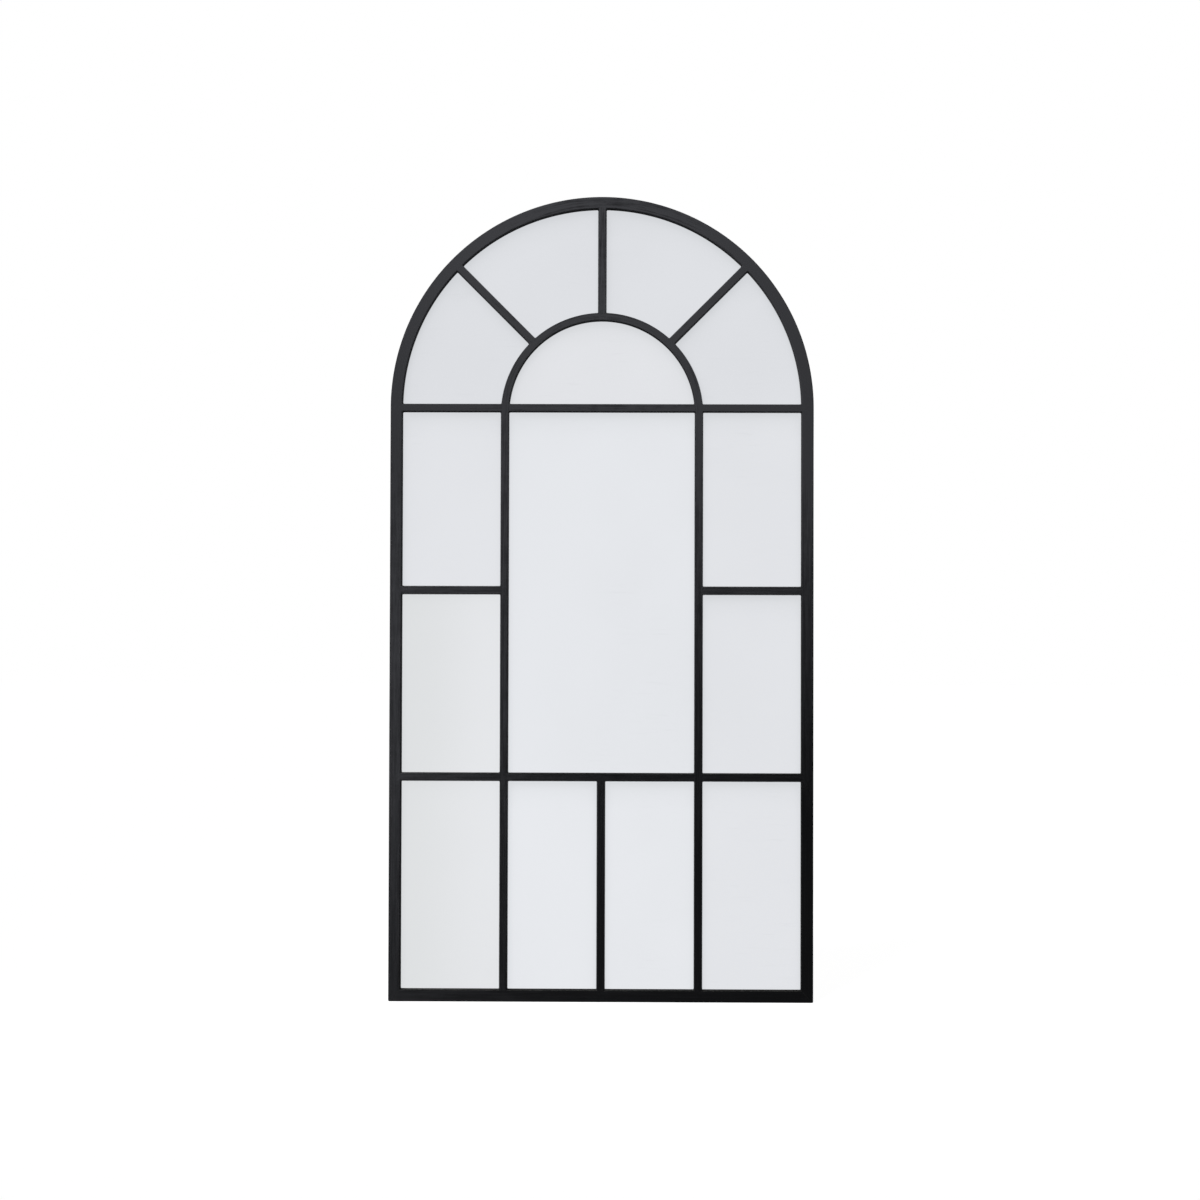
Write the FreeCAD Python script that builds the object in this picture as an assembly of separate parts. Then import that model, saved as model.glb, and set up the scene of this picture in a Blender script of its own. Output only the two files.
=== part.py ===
import FreeCAD, Part

import math
import os

from FreeCAD import Vector

# Arched window mirror in a welded steel frame. Millimetres.
# It is drawn with X to the viewer's right, Y from the front face towards the wall and Z up from the
# bottom edge. Each finished piece is then moved so that the origin lies midway between the keyholes.

# Outer frame: square tube, mitred at the bottom corners, with a rolled half-circle top.
WIDTH = 900.0
SPRING_HEIGHT = 1260.0
FRAME_SIZE = 25.0
FRAME_WALL = 1.5
FRAME_EASE = 1.3  # the tube's small rounded edges are drawn as flats this wide on each side
FOOT_CORNER = 3.0  # the ground-off point of each bottom corner, seen from the front

# Glazing bars: rectangular tube, flush with the front of the frame.
BAR_WIDTH = 16.0
BAR_DEPTH = 10.0
BAR_WALL = 1.2
BAR_EASE = 0.9
MULLION_OFFSET = 206.5  # each long mullion's centre line from the middle
LUNETTE_HEIGHT = 1248.0  # centre of the inner arch, just under the spring transom
SIDE_TRANSOM_HEIGHT = 872.0
LOWER_TRANSOM_HEIGHT = 475.5
FAN_HEIGHT = 1254.0  # the point that the three radial bars aim at
FAN_ANGLES = {"left": 135.0, "top": 90.0, "right": 45.0}

# Weld metal in the inner corners.
WELD_LEG = 4.0
WELD_INSET = 0.6  # ground back from the front of the bars, and clear of the glass

# Mirror panes, and the board behind them.
GLASS = 4.0
PANE_GAP = 2.0
EDGE_GAP = 1.0
BOARD = 6.0

# Offset clips that hold the board, one screw each.
CLIP_SHEET = 1.2
CLIP_WIDTH = 16.0
CLIP_FOOT = 16.0
CLIP_NOSE = 13.0
CLIP_STEP_GAP = 0.8
CLIP_BEND = 1.8  # outside radius; the inside of each bend is sharp
CLIP_HOLE = 4.5
STILE_CLIP_HEIGHTS = (180.0, 560.0, 940.0)
ARCH_CLIP_ANGLES = (22.0, 56.0, 90.0, 124.0, 158.0)
RAIL_CLIP_OFFSETS = (-260.0, 0.0, 260.0)

# Pan-head self-tapping screws.
SCREW_HEAD = 7.4
SCREW_HEAD_HEIGHT = 2.2
SCREW_HEAD_RIM = 0.8
SCREW_HEAD_TOP = 5.0
SCREW_SHANK = 3.0
SCREW_LENGTH = 9.5
SCREW_POINT = 2.5
SCREW_TIP = 0.6
PILOT_HOLE = 3.2

# Keyhole hanger plates, screwed to the back of the stiles.
PLATE_SHEET = 2.5
PLATE_WIDTH = 42.0
PLATE_HEIGHT = 70.0
PLATE_CORNER = 4.0
PLATE_LAP = 17.0  # how far the plate lies on the stile
PLATE_SCREW_RISE = 24.0  # from the plate's middle to each screw
KEYHOLE_OFFSET = 410.0
KEYHOLE_HEIGHT = 1190.0
KEYHOLE_DROP = 8.0  # the keyhole's round end below the plate's middle
KEYHOLE_BULB = 12.0
KEYHOLE_SLOT = 6.0
KEYHOLE_RISE = 16.0  # from the round end's centre to the slot's top centre

# Rubber wall bumpers.
BUMPER = 12.0
BUMPER_HEIGHT = 5.0
BUMPER_TIP = 10.0
LOWER_BUMPER_HEIGHT = 60.0
UPPER_BUMPER_ANGLE = 40.0

# Worked out from the above.
OUTER_RADIUS = WIDTH / 2
DAYLIGHT_RADIUS = OUTER_RADIUS - FRAME_SIZE
RAIL_RADIUS = OUTER_RADIUS - FRAME_SIZE / 2
BAR_HALF = BAR_WIDTH / 2
LUNETTE_OUTER = MULLION_OFFSET + BAR_HALF
LUNETTE_INNER = MULLION_OFFSET - BAR_HALF
GLASS_BACK = BAR_DEPTH + GLASS
BOARD_BACK = GLASS_BACK + BOARD
PLATE_BACK = FRAME_SIZE + PLATE_SHEET
ORIGIN = Vector(0, PLATE_BACK, KEYHOLE_HEIGHT)

ACROSS = Vector(1, 0, 0)
BACKWARD = Vector(0, 1, 0)
UP = Vector(0, 0, 1)
OVERCUT = 1.0  # how far a cutting tool runs past the face it cuts
HOLE_SIDES = 8  # small round holes and shanks that screw heads cover are drawn with few sides
HEAD_SIDES = 16
BUMPER_SIDES = 24


def rounded_wire(corners):
    """Closed wire through (point, radius) corners, each rounded to its radius; 0 leaves it sharp."""
    ends = []
    for index, (point, radius) in enumerate(corners):
        back = (corners[index - 1][0] - point).normalize()
        ahead = (corners[(index + 1) % len(corners)][0] - point).normalize()
        half_angle = back.getAngle(ahead) / 2
        reach = radius / math.tan(half_angle)
        inward = (back + ahead).normalize()
        middle = point + inward * (radius / math.sin(half_angle) - radius)
        ends.append((point + back * reach, middle, point + ahead * reach, radius))
    edges = []
    for index, (start, middle, end, radius) in enumerate(ends):
        if radius:
            edges.append(Part.Arc(start, middle, end).toShape())
        edges.append(Part.makeLine(end, ends[(index + 1) % len(ends)][0]))
    return Part.Wire(edges)


def many_sided(middle, diameter, sides):
    """Corners of a regular outline that faces the viewer, the first one repeated at the end."""
    points = []
    for index in range(sides + 1):
        turn = 2 * math.pi * (index + 0.5) / sides
        reach = Vector(math.cos(turn), 0, math.sin(turn)) * (diameter / 2)
        points.append(middle + reach)
    return points


def flat_sided(outlines):
    """Solid with flat sides through outlines of equal corner counts, given in order along Y."""
    faces = [Part.Face(Part.makePolygon(outline)) for outline in (outlines[0], outlines[-1])]
    for near, far in zip(outlines, outlines[1:]):
        for index in range(len(near) - 1):
            corners = [near[index], near[index + 1], far[index + 1], far[index], near[index]]
            faces.append(Part.Face(Part.makePolygon(corners)))
    solid = Part.Solid(Part.Shell(faces))
    return solid if solid.Volume > 0 else solid.reversed()


def tube_section(width, depth, wall, ease):
    """Cross-section of a tube with eased outer edges, across X about 0 and with its face on Y 0."""
    half = width / 2
    bore = half - wall
    outline = [
        (-half + ease, 0), (half - ease, 0), (half, ease), (half, depth - ease),
        (half - ease, depth), (-half + ease, depth), (-half, depth - ease), (-half, ease),
    ]
    hollow = [(-bore, wall), (bore, wall), (bore, depth - wall), (-bore, depth - wall)]
    wires = []
    for points in (outline, hollow):
        wires.append(Part.makePolygon([Vector(x, y, 0) for x, y in points + points[:1]]))
    return Part.makeFace(wires, "Part::FaceMakerBullseye")


def frame_section():
    return tube_section(FRAME_SIZE, FRAME_SIZE, FRAME_WALL, FRAME_EASE)


def bar_section():
    return tube_section(BAR_WIDTH, BAR_DEPTH, BAR_WALL, BAR_EASE)


def upright(section, x, bottom, top):
    """Straight tube from one height to another."""
    tube = section.extrude(UP * (top - bottom))
    tube.translate(Vector(x, 0, bottom))
    return tube


def level(section, z, left, right):
    """Straight tube from left to right."""
    tube = section.extrude(UP * (right - left))
    tube.rotate(Vector(0, 0, 0), BACKWARD, 90)
    tube.translate(Vector(left, 0, z))
    return tube


def half_ring(section, radius, height):
    """Tube rolled into a half circle that stands on the given height."""
    start = section.translated(Vector(radius, 0, height))
    return start.revolve(Vector(0, 0, height), -BACKWARD, 180)


def disc(radius, height, front=-OVERCUT, back=FRAME_SIZE + OVERCUT):
    """Solid disc facing the viewer, about the centre line at a height."""
    return Part.makeCylinder(radius, back - front, Vector(0, front, height), BACKWARD)


def back_drill(x, z, diameter, front, back):
    """Cylinder along Y, as a drill or a pin."""
    return Part.makeCylinder(diameter / 2, back - front, Vector(x, front, z), BACKWARD)


def small_hole(x, z, diameter, front, back):
    """Few-sided cutting tool along Y for a hole that a screw head covers."""
    ends = [many_sided(Vector(x, y, z), diameter, HOLE_SIDES) for y in (front, back)]
    return flat_sided(ends)


def rail_point(angle):
    """Point on the arch rail's centre line, in the frame's back plane."""
    turn = math.radians(angle)
    rise = RAIL_RADIUS * math.sin(turn)
    return Vector(RAIL_RADIUS * math.cos(turn), FRAME_SIZE, SPRING_HEIGHT + rise)


# Fastener places: each is a point in the frame's back plane and the direction towards the glass.

def stile_clip_places(side):
    return [(Vector(side * RAIL_RADIUS, FRAME_SIZE, z), ACROSS * -side) for z in STILE_CLIP_HEIGHTS]


def arch_clip_places():
    centre = Vector(0, FRAME_SIZE, SPRING_HEIGHT)
    points = [rail_point(angle) for angle in ARCH_CLIP_ANGLES]
    return [(point, (centre - point).normalize()) for point in points]


def rail_clip_places():
    return [(Vector(x, FRAME_SIZE, FRAME_SIZE / 2), UP) for x in RAIL_CLIP_OFFSETS]


def clip_places():
    return stile_clip_places(-1) + stile_clip_places(1) + arch_clip_places() + rail_clip_places()


def plate_middle(side):
    """Middle of a hanger plate on the frame's back plane."""
    x = side * (DAYLIGHT_RADIUS + PLATE_LAP - PLATE_WIDTH / 2)
    return Vector(x, FRAME_SIZE, KEYHOLE_HEIGHT + KEYHOLE_DROP)


def plate_screw_points(side):
    middle = plate_middle(side)
    x = side * RAIL_RADIUS
    return [Vector(x, FRAME_SIZE, middle.z + rise) for rise in (-PLATE_SCREW_RISE, PLATE_SCREW_RISE)]


def drill_pilots(tube, points):
    """Pilot holes through a frame tube's back wall."""
    front = FRAME_SIZE - FRAME_WALL - OVERCUT
    drills = [small_hole(p.x, p.z, PILOT_HOLE, front, FRAME_SIZE + OVERCUT) for p in points]
    return tube.cut(drills)


# Outer frame.

def prism(points):
    """Solid right through the frame's depth, over an outline of (x, z) points."""
    wire = Part.makePolygon([Vector(x, -OVERCUT, z) for x, z in points + points[:1]])
    return Part.Face(wire).extrude(BACKWARD * (FRAME_SIZE + 2 * OVERCUT))


def foot_point_grinding(side):
    """What is ground off the point of a bottom corner."""
    x = side * (OUTER_RADIUS - FOOT_CORNER)
    tip = prism([(x, FOOT_CORNER), (x, -OVERCUT), (x + side * (FOOT_CORNER + OVERCUT), -OVERCUT),
                 (x + side * (FOOT_CORNER + OVERCUT), FOOT_CORNER)])
    return tip.cut(back_drill(x, FOOT_CORNER, 2 * FOOT_CORNER, -2 * OVERCUT, FRAME_SIZE + 2 * OVERCUT))


def stile(side):
    outer = side * OUTER_RADIUS
    inner = side * DAYLIGHT_RADIUS
    tube = upright(frame_section(), side * RAIL_RADIUS, 0, SPRING_HEIGHT)
    under_mitre = prism([(outer, 0), (inner, FRAME_SIZE), (inner, -OVERCUT), (outer, -OVERCUT)])
    tube = tube.cut([under_mitre, foot_point_grinding(side)])
    clip_points = [point for point, inward in stile_clip_places(side)]
    return drill_pilots(tube, clip_points + plate_screw_points(side))


def bottom_rail():
    tube = level(frame_section(), FRAME_SIZE / 2, -OUTER_RADIUS, OUTER_RADIUS)
    for side in (-1, 1):
        outer = side * OUTER_RADIUS
        inner = side * DAYLIGHT_RADIUS
        over_mitre = prism([(outer, 0), (inner, FRAME_SIZE), (inner, FRAME_SIZE + OVERCUT),
                            (outer, FRAME_SIZE + OVERCUT)])
        tube = tube.cut([over_mitre, foot_point_grinding(side)])
    return drill_pilots(tube, [point for point, inward in rail_clip_places()])


def arch_rail():
    tube = half_ring(frame_section(), RAIL_RADIUS, SPRING_HEIGHT)
    return drill_pilots(tube, [point for point, inward in arch_clip_places()])


# Glazing bars.

def lunette_arch():
    return half_ring(bar_section(), MULLION_OFFSET, LUNETTE_HEIGHT)


def long_mullion(side):
    return upright(bar_section(), side * MULLION_OFFSET, FRAME_SIZE, LUNETTE_HEIGHT)


def centre_mullion():
    return upright(bar_section(), 0, FRAME_SIZE, LOWER_TRANSOM_HEIGHT - BAR_HALF)


def side_spring_transom(side):
    """Coped at one end to the arch rail and at the other to the inner arch."""
    ends = sorted((side * OUTER_RADIUS, 0.0))
    bar = level(bar_section(), SPRING_HEIGHT, *ends)
    under_arch = disc(DAYLIGHT_RADIUS, SPRING_HEIGHT)
    return bar.common(under_arch).cut(disc(LUNETTE_OUTER, LUNETTE_HEIGHT))


def centre_spring_transom():
    """Coped at both ends to the inside of the inner arch."""
    bar = level(bar_section(), SPRING_HEIGHT, -MULLION_OFFSET, MULLION_OFFSET)
    return bar.common(disc(LUNETTE_INNER, LUNETTE_HEIGHT))


def side_bar(side, height):
    """Transom from a stile to a long mullion."""
    ends = sorted((side * DAYLIGHT_RADIUS, side * LUNETTE_OUTER))
    return level(bar_section(), height, *ends)


def centre_lower_transom():
    return level(bar_section(), LOWER_TRANSOM_HEIGHT, -LUNETTE_INNER, LUNETTE_INNER)


def radial_bar(angle):
    """Straight bar aimed at the fan's centre, coped to the arch rail and to the inner arch."""
    bar = level(bar_section(), FAN_HEIGHT, 0, OUTER_RADIUS)
    bar.rotate(Vector(0, 0, FAN_HEIGHT), -BACKWARD, angle)
    return bar.common(disc(DAYLIGHT_RADIUS, SPRING_HEIGHT)).cut(disc(LUNETTE_OUTER, LUNETTE_HEIGHT))


# Weld metal.

def weld(corner, first_side, second_side):
    """Hollow-faced fillet in a corner, between two directions along its sides. The hollow is two flats."""
    half_angle = first_side.getAngle(second_side) / 2
    radius = WELD_LEG * math.tan(half_angle)
    inward = (first_side + second_side).normalize()
    start = corner + first_side * WELD_LEG
    middle = corner + inward * (radius / math.sin(half_angle) - radius)
    end = corner + second_side * WELD_LEG
    outline = Part.makePolygon([corner, start, middle, end, corner])
    bead = Part.Face(outline).extrude(BACKWARD * (BAR_DEPTH - 2 * WELD_INSET))
    bead.translate(BACKWARD * WELD_INSET)
    return bead


def straight_end_welds(point, along_bar, along_wall):
    """Both welds where a bar ends square on a straight wall."""
    beads = []
    for hand in (-1, 1):
        corner = point + along_wall * (hand * BAR_HALF)
        beads.append(weld(corner, along_bar, along_wall * hand))
    return beads


def ring_end_welds(start, towards, radius, height):
    """Both welds where a bar, run from start towards a ring, ends on it. A start within the ring puts
    the bar against its hollow side, and a start beyond it against its outside."""
    beads = []
    centre = Vector(0, 0, height)
    across_bar = towards.cross(BACKWARD)
    starts_within = start.distanceToPoint(centre) < radius
    for hand in (-1, 1):
        edge = start + across_bar * (hand * BAR_HALF) - centre
        along = edge.dot(towards)
        root = math.sqrt(along ** 2 - edge.dot(edge) + radius ** 2)
        run = -along + (root if starts_within else -root)
        corner = centre + edge + towards * run
        outward = (corner - centre).normalize()
        along_wall = BACKWARD.cross(outward)
        if along_wall.dot(across_bar) * hand < 0:
            along_wall = -along_wall
        if starts_within:
            along_wall = (along_wall - outward * (WELD_LEG / radius)).normalize()
        beads.append(weld(corner, -towards, along_wall))
    return beads


def transom_welds(side):
    """Welds of the side, lower and spring transoms on one side of the middle."""
    outward = ACROSS * side
    beads = []
    for height in (SIDE_TRANSOM_HEIGHT, LOWER_TRANSOM_HEIGHT):
        beads += straight_end_welds(Vector(side * DAYLIGHT_RADIUS, 0, height), -outward, UP)
        beads += straight_end_welds(Vector(side * LUNETTE_OUTER, 0, height), outward, UP)
    beads += straight_end_welds(Vector(side * LUNETTE_INNER, 0, LOWER_TRANSOM_HEIGHT), -outward, UP)
    middle = Vector(0, 0, SPRING_HEIGHT)
    beads += ring_end_welds(middle, outward, DAYLIGHT_RADIUS, SPRING_HEIGHT)
    beads += ring_end_welds(middle, outward, LUNETTE_INNER, LUNETTE_HEIGHT)
    beads += ring_end_welds(middle + outward * OUTER_RADIUS, -outward, LUNETTE_OUTER, LUNETTE_HEIGHT)
    return beads


def radial_welds(angle):
    turn = math.radians(angle)
    outward = Vector(math.cos(turn), 0, math.sin(turn))
    fan_centre = Vector(0, 0, FAN_HEIGHT)
    rim = fan_centre + outward * OUTER_RADIUS
    beads = ring_end_welds(fan_centre, outward, DAYLIGHT_RADIUS, SPRING_HEIGHT)
    return beads + ring_end_welds(rim, -outward, LUNETTE_OUTER, LUNETTE_HEIGHT)


def weld_fillets():
    beads = []
    for side in (-1, 1):
        beads += transom_welds(side)
        beads += straight_end_welds(Vector(side * MULLION_OFFSET, 0, FRAME_SIZE), UP, ACROSS)
        frame_corner = Vector(side * DAYLIGHT_RADIUS, 0, FRAME_SIZE)
        beads.append(weld(frame_corner, ACROSS * -side, UP))
    beads += straight_end_welds(Vector(0, 0, FRAME_SIZE), UP, ACROSS)
    top_of_centre = Vector(0, 0, LOWER_TRANSOM_HEIGHT - BAR_HALF)
    beads += straight_end_welds(top_of_centre, -UP, ACROSS)
    for angle in FAN_ANGLES.values():
        beads += radial_welds(angle)
    return Part.makeCompound(beads)


# Mirror panes and backboard.

def arch_plate(front, back):
    """Flat plate that fills the frame's opening, short of it by the edge gap."""
    half = DAYLIGHT_RADIUS - EDGE_GAP
    bottom = FRAME_SIZE + EDGE_GAP
    foot_left = Vector(-half, front, bottom)
    foot_right = Vector(half, front, bottom)
    spring_left = Vector(-half, front, SPRING_HEIGHT)
    spring_right = Vector(half, front, SPRING_HEIGHT)
    crown = Vector(0, front, SPRING_HEIGHT + half)
    edges = [
        Part.makeLine(foot_left, foot_right),
        Part.makeLine(foot_right, spring_right),
        Part.Arc(spring_right, crown, spring_left).toShape(),
        Part.makeLine(spring_left, foot_left),
    ]
    return Part.Face(Part.Wire(edges)).extrude(BACKWARD * (back - front))


def upright_cut(x, top):
    """Gap between panes along a mullion, from below the glass up to a height."""
    depth = FRAME_SIZE
    return Part.makeBox(PANE_GAP, depth, top, Vector(x - PANE_GAP / 2, 0, 0))


def level_cut(height, left, right):
    """Gap between panes along a transom."""
    return Part.makeBox(right - left, FRAME_SIZE, PANE_GAP, Vector(left, 0, height - PANE_GAP / 2))


def radial_cut(angle):
    """Gap between fan panes along a radial bar, outside the inner arch."""
    gap = level_cut(FAN_HEIGHT, MULLION_OFFSET - BAR_HALF, OUTER_RADIUS)
    gap.rotate(Vector(0, 0, FAN_HEIGHT), -BACKWARD, angle)
    return gap.cut(disc(MULLION_OFFSET, LUNETTE_HEIGHT))


def lunette_cut():
    """Half-round gap between the fan panes and what lies inside the inner arch."""
    ring = disc(MULLION_OFFSET + PANE_GAP / 2, LUNETTE_HEIGHT)
    ring = ring.cut(disc(MULLION_OFFSET - PANE_GAP / 2, LUNETTE_HEIGHT, -2 * OVERCUT, 2 * FRAME_SIZE))
    below = Part.makeBox(WIDTH, 2 * FRAME_SIZE, SPRING_HEIGHT,
                         Vector(-OUTER_RADIUS, -FRAME_SIZE / 2, LUNETTE_HEIGHT - SPRING_HEIGHT))
    return ring.cut(below)


def pane_places():
    """A point inside each pane, by the pane's name."""
    side_middle = (DAYLIGHT_RADIUS + LUNETTE_OUTER) / 2
    places = {
        "lunette_pane": (0, SPRING_HEIGHT + MULLION_OFFSET / 2),
        "centre_pane": (0, SIDE_TRANSOM_HEIGHT),
    }
    fan_angles = {"outer_right": 22.5, "inner_right": 67.5, "inner_left": 112.5, "outer_left": 157.5}
    for name, angle in fan_angles.items():
        turn = math.radians(angle)
        places["fan_pane_" + name] = (side_middle * math.cos(turn), FAN_HEIGHT + side_middle * math.sin(turn))
    for side, hand in ((-1, "left"), (1, "right")):
        x = side * side_middle
        places["upper_pane_" + hand] = (x, (SPRING_HEIGHT + SIDE_TRANSOM_HEIGHT) / 2)
        places["middle_pane_" + hand] = (x, (SIDE_TRANSOM_HEIGHT + LOWER_TRANSOM_HEIGHT) / 2)
        places["bottom_pane_outer_" + hand] = (x, LOWER_TRANSOM_HEIGHT / 2)
        places["bottom_pane_inner_" + hand] = (side * MULLION_OFFSET / 2, LOWER_TRANSOM_HEIGHT / 2)
    return places


def mirror_panes():
    """The fourteen panes, as if scored out of one sheet along the middle of every bar."""
    gaps = [upright_cut(side * MULLION_OFFSET, LUNETTE_HEIGHT) for side in (-1, 1)]
    gaps.append(upright_cut(0, LOWER_TRANSOM_HEIGHT))
    gaps.append(lunette_cut())
    gaps.append(level_cut(SPRING_HEIGHT, -OUTER_RADIUS, OUTER_RADIUS))
    gaps.append(level_cut(LOWER_TRANSOM_HEIGHT, -OUTER_RADIUS, OUTER_RADIUS))
    gaps.append(level_cut(SIDE_TRANSOM_HEIGHT, -OUTER_RADIUS, -MULLION_OFFSET))
    gaps.append(level_cut(SIDE_TRANSOM_HEIGHT, MULLION_OFFSET, OUTER_RADIUS))
    gaps += [radial_cut(angle) for angle in FAN_ANGLES.values()]
    sheet = arch_plate(BAR_DEPTH, GLASS_BACK).cut(gaps)
    panes = {}
    for name, (x, z) in pane_places().items():
        inside = Vector(x, BAR_DEPTH + GLASS / 2, z)
        panes[name] = next(pane for pane in sheet.Solids if pane.isInside(inside, 0.01, False))
    return panes


def backboard():
    return arch_plate(GLASS_BACK, BOARD_BACK)


# Fasteners and fittings on the back.

def clip_profile():
    """Side view of an offset clip: X runs towards the glass from the screw, Y towards the wall."""
    edge = FRAME_SIZE / 2
    web = edge + CLIP_STEP_GAP
    top = CLIP_SHEET
    low = BOARD_BACK - FRAME_SIZE
    heel = edge - CLIP_FOOT
    toe = web + CLIP_NOSE
    corners = [
        (heel, 0, 0), (web, 0, 0), (web, low, CLIP_BEND), (toe, low, 0),
        (toe, low + CLIP_SHEET, 0), (web + CLIP_SHEET, low + CLIP_SHEET, 0),
        (web + CLIP_SHEET, top, CLIP_BEND), (heel, top, 0),
    ]
    return rounded_wire([(Vector(x, y, 0), radius) for x, y, radius in corners])


def offset_clip(point, inward):
    """Clip screwed to the frame's back at point, its nose on the board."""
    clip = Part.Face(clip_profile()).extrude(UP * CLIP_WIDTH)
    clip.translate(-UP * (CLIP_WIDTH / 2))
    clip = clip.cut(small_hole(0, 0, CLIP_HOLE, -OVERCUT, CLIP_SHEET + OVERCUT))
    turn = math.degrees(math.atan2(inward.z, inward.x))
    clip.rotate(Vector(0, 0, 0), -BACKWARD, turn)
    clip.translate(point)
    return clip


def pan_screw(point, under_head):
    """Pan-head screw along Y through point, the underside of its head at a depth."""
    seat = Vector(point.x, under_head, point.z)
    rim = seat + BACKWARD * SCREW_HEAD_RIM
    crown = seat + BACKWARD * SCREW_HEAD_HEIGHT
    head = flat_sided([
        many_sided(seat, SCREW_HEAD, HEAD_SIDES),
        many_sided(rim, SCREW_HEAD, HEAD_SIDES),
        many_sided(crown, SCREW_HEAD_TOP, HEAD_SIDES),
    ])
    shoulder = seat - BACKWARD * (SCREW_LENGTH - SCREW_POINT)
    tip = seat - BACKWARD * SCREW_LENGTH
    shank = flat_sided([
        many_sided(tip, SCREW_TIP, HOLE_SIDES),
        many_sided(shoulder, SCREW_SHANK, HOLE_SIDES),
        many_sided(seat, SCREW_SHANK, HOLE_SIDES),
    ])
    return head.fuse(shank)


def hanger_plate(side):
    """Steel plate with a keyhole beside the stile and two screw holes on it."""
    middle = plate_middle(side)
    half_width = PLATE_WIDTH / 2
    half_height = PLATE_HEIGHT / 2
    points = [(-half_width, -half_height), (half_width, -half_height),
              (half_width, half_height), (-half_width, half_height)]
    outline = rounded_wire([(middle + Vector(x, 0, z), PLATE_CORNER) for x, z in points])
    plate = Part.Face(outline).extrude(BACKWARD * PLATE_SHEET)
    front = FRAME_SIZE - OVERCUT
    back = PLATE_BACK + OVERCUT
    x = side * KEYHOLE_OFFSET
    top = KEYHOLE_HEIGHT + KEYHOLE_RISE
    bulb = back_drill(x, KEYHOLE_HEIGHT, KEYHOLE_BULB, front, back)
    slot = Part.makeBox(KEYHOLE_SLOT, back - front, KEYHOLE_RISE,
                        Vector(x - KEYHOLE_SLOT / 2, front, KEYHOLE_HEIGHT))
    slot_top = back_drill(x, top, KEYHOLE_SLOT, front, back)
    screw_holes = [small_hole(p.x, p.z, CLIP_HOLE, front, back) for p in plate_screw_points(side)]
    return plate.cut([bulb.fuse([slot, slot_top])] + screw_holes)


def wall_bumper(point):
    """Round rubber foot, tapered a little to the wall, stuck to the frame's back."""
    stuck = many_sided(point, BUMPER, BUMPER_SIDES)
    tip = many_sided(point + BACKWARD * BUMPER_HEIGHT, BUMPER_TIP, BUMPER_SIDES)
    return flat_sided([stuck, tip])


def build_parts():
    """Every piece by its name."""
    parts = {
        "arch_rail": arch_rail(),
        "left_stile": stile(-1),
        "right_stile": stile(1),
        "bottom_rail": bottom_rail(),
        "lunette_arch": lunette_arch(),
        "left_mullion": long_mullion(-1),
        "right_mullion": long_mullion(1),
        "centre_mullion": centre_mullion(),
        "spring_transom_centre": centre_spring_transom(),
        "lower_transom_centre": centre_lower_transom(),
        "weld_fillets": weld_fillets(),
        "backboard": backboard(),
    }
    for side, hand in ((-1, "left"), (1, "right")):
        parts["spring_transom_" + hand] = side_spring_transom(side)
        parts["side_transom_" + hand] = side_bar(side, SIDE_TRANSOM_HEIGHT)
        parts["lower_transom_" + hand] = side_bar(side, LOWER_TRANSOM_HEIGHT)
        parts["hanger_plate_" + hand] = hanger_plate(side)
        foot = Vector(side * RAIL_RADIUS, FRAME_SIZE, LOWER_BUMPER_HEIGHT)
        shoulder = rail_point(UPPER_BUMPER_ANGLE if side > 0 else 180 - UPPER_BUMPER_ANGLE)
        parts["wall_bumper_lower_" + hand] = wall_bumper(foot)
        parts["wall_bumper_upper_" + hand] = wall_bumper(shoulder)
    for hand, angle in FAN_ANGLES.items():
        parts["radial_bar_" + hand] = radial_bar(angle)
    parts.update(mirror_panes())
    places = clip_places()
    clip_back = FRAME_SIZE + CLIP_SHEET
    plate_points = plate_screw_points(-1) + plate_screw_points(1)
    parts["board_clips"] = Part.makeCompound([offset_clip(point, inward) for point, inward in places])
    parts["clip_screws"] = Part.makeCompound([pan_screw(point, clip_back) for point, inward in places])
    parts["hanger_screws"] = Part.makeCompound([pan_screw(point, PLATE_BACK) for point in plate_points])
    return parts


os.makedirs("parts", exist_ok=True)
for name, shape in build_parts().items():
    shape.translate(-ORIGIN)
    shape.exportStep("parts/" + name + ".step")
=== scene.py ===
import math

import bmesh
import bpy
from mathutils import Matrix, Vector, noise


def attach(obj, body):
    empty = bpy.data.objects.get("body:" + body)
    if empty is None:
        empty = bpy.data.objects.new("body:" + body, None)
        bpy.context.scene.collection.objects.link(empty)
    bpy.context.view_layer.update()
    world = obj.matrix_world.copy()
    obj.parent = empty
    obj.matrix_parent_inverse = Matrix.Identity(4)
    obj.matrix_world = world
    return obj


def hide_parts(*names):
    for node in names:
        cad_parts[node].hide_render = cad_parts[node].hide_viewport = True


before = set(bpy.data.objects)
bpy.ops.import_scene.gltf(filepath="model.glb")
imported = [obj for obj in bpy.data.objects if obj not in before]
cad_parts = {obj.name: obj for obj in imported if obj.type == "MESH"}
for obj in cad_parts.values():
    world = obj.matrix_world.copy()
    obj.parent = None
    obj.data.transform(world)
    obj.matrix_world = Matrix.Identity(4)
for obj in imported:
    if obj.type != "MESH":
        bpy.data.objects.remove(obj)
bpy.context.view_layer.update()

# Arched window mirror: a welded steel frame with glazing bars, fourteen mirror panes behind them, and a
# board, clips and hangers on the back. Metres. X runs to the viewer's right, Y towards the wall, Z up, and
# the origin lies midway between the keyholes.

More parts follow.
